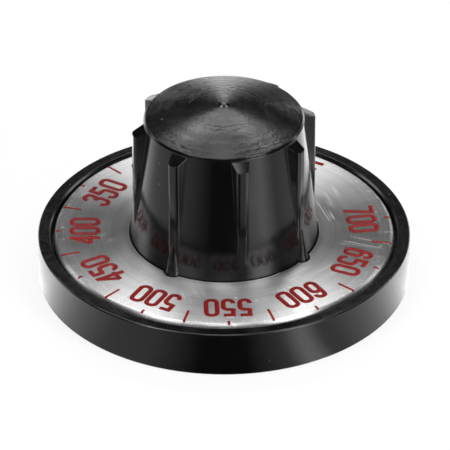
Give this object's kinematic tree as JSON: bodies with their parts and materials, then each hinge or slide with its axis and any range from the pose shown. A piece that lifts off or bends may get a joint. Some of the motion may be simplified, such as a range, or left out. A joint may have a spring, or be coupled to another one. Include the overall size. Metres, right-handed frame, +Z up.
{
  "type": "oven control knob",
  "caption": "Skirted black dial knob with a ribbed tapered grip and a brushed metal dial plate with a red temperature scale; pushes onto a flatted control shaft.",
  "frame": {"origin": "on the shaft's axis, on the plane that the skirt's lower edge stands on", "axes": "+Z up the shaft's axis towards the crown of the grip; -Y towards the 550 mark of the dial; +X to the right seen from there"},
  "size_m": [0.0636, 0.0636, 0.0336],
  "materials": {
    "black_moulding": "glossy black thermoset moulding, turned rings on the crown",
    "dial_metal": "spun-brushed aluminium, lightly scratched",
    "spring_steel": "blued spring steel strip"
  },
  "bodies": {
    "root": {"knob_body": "black_moulding", "dial_plate": "dial_metal", "shaft_spring": "spring_steel"}
  },
  "joints": []
}
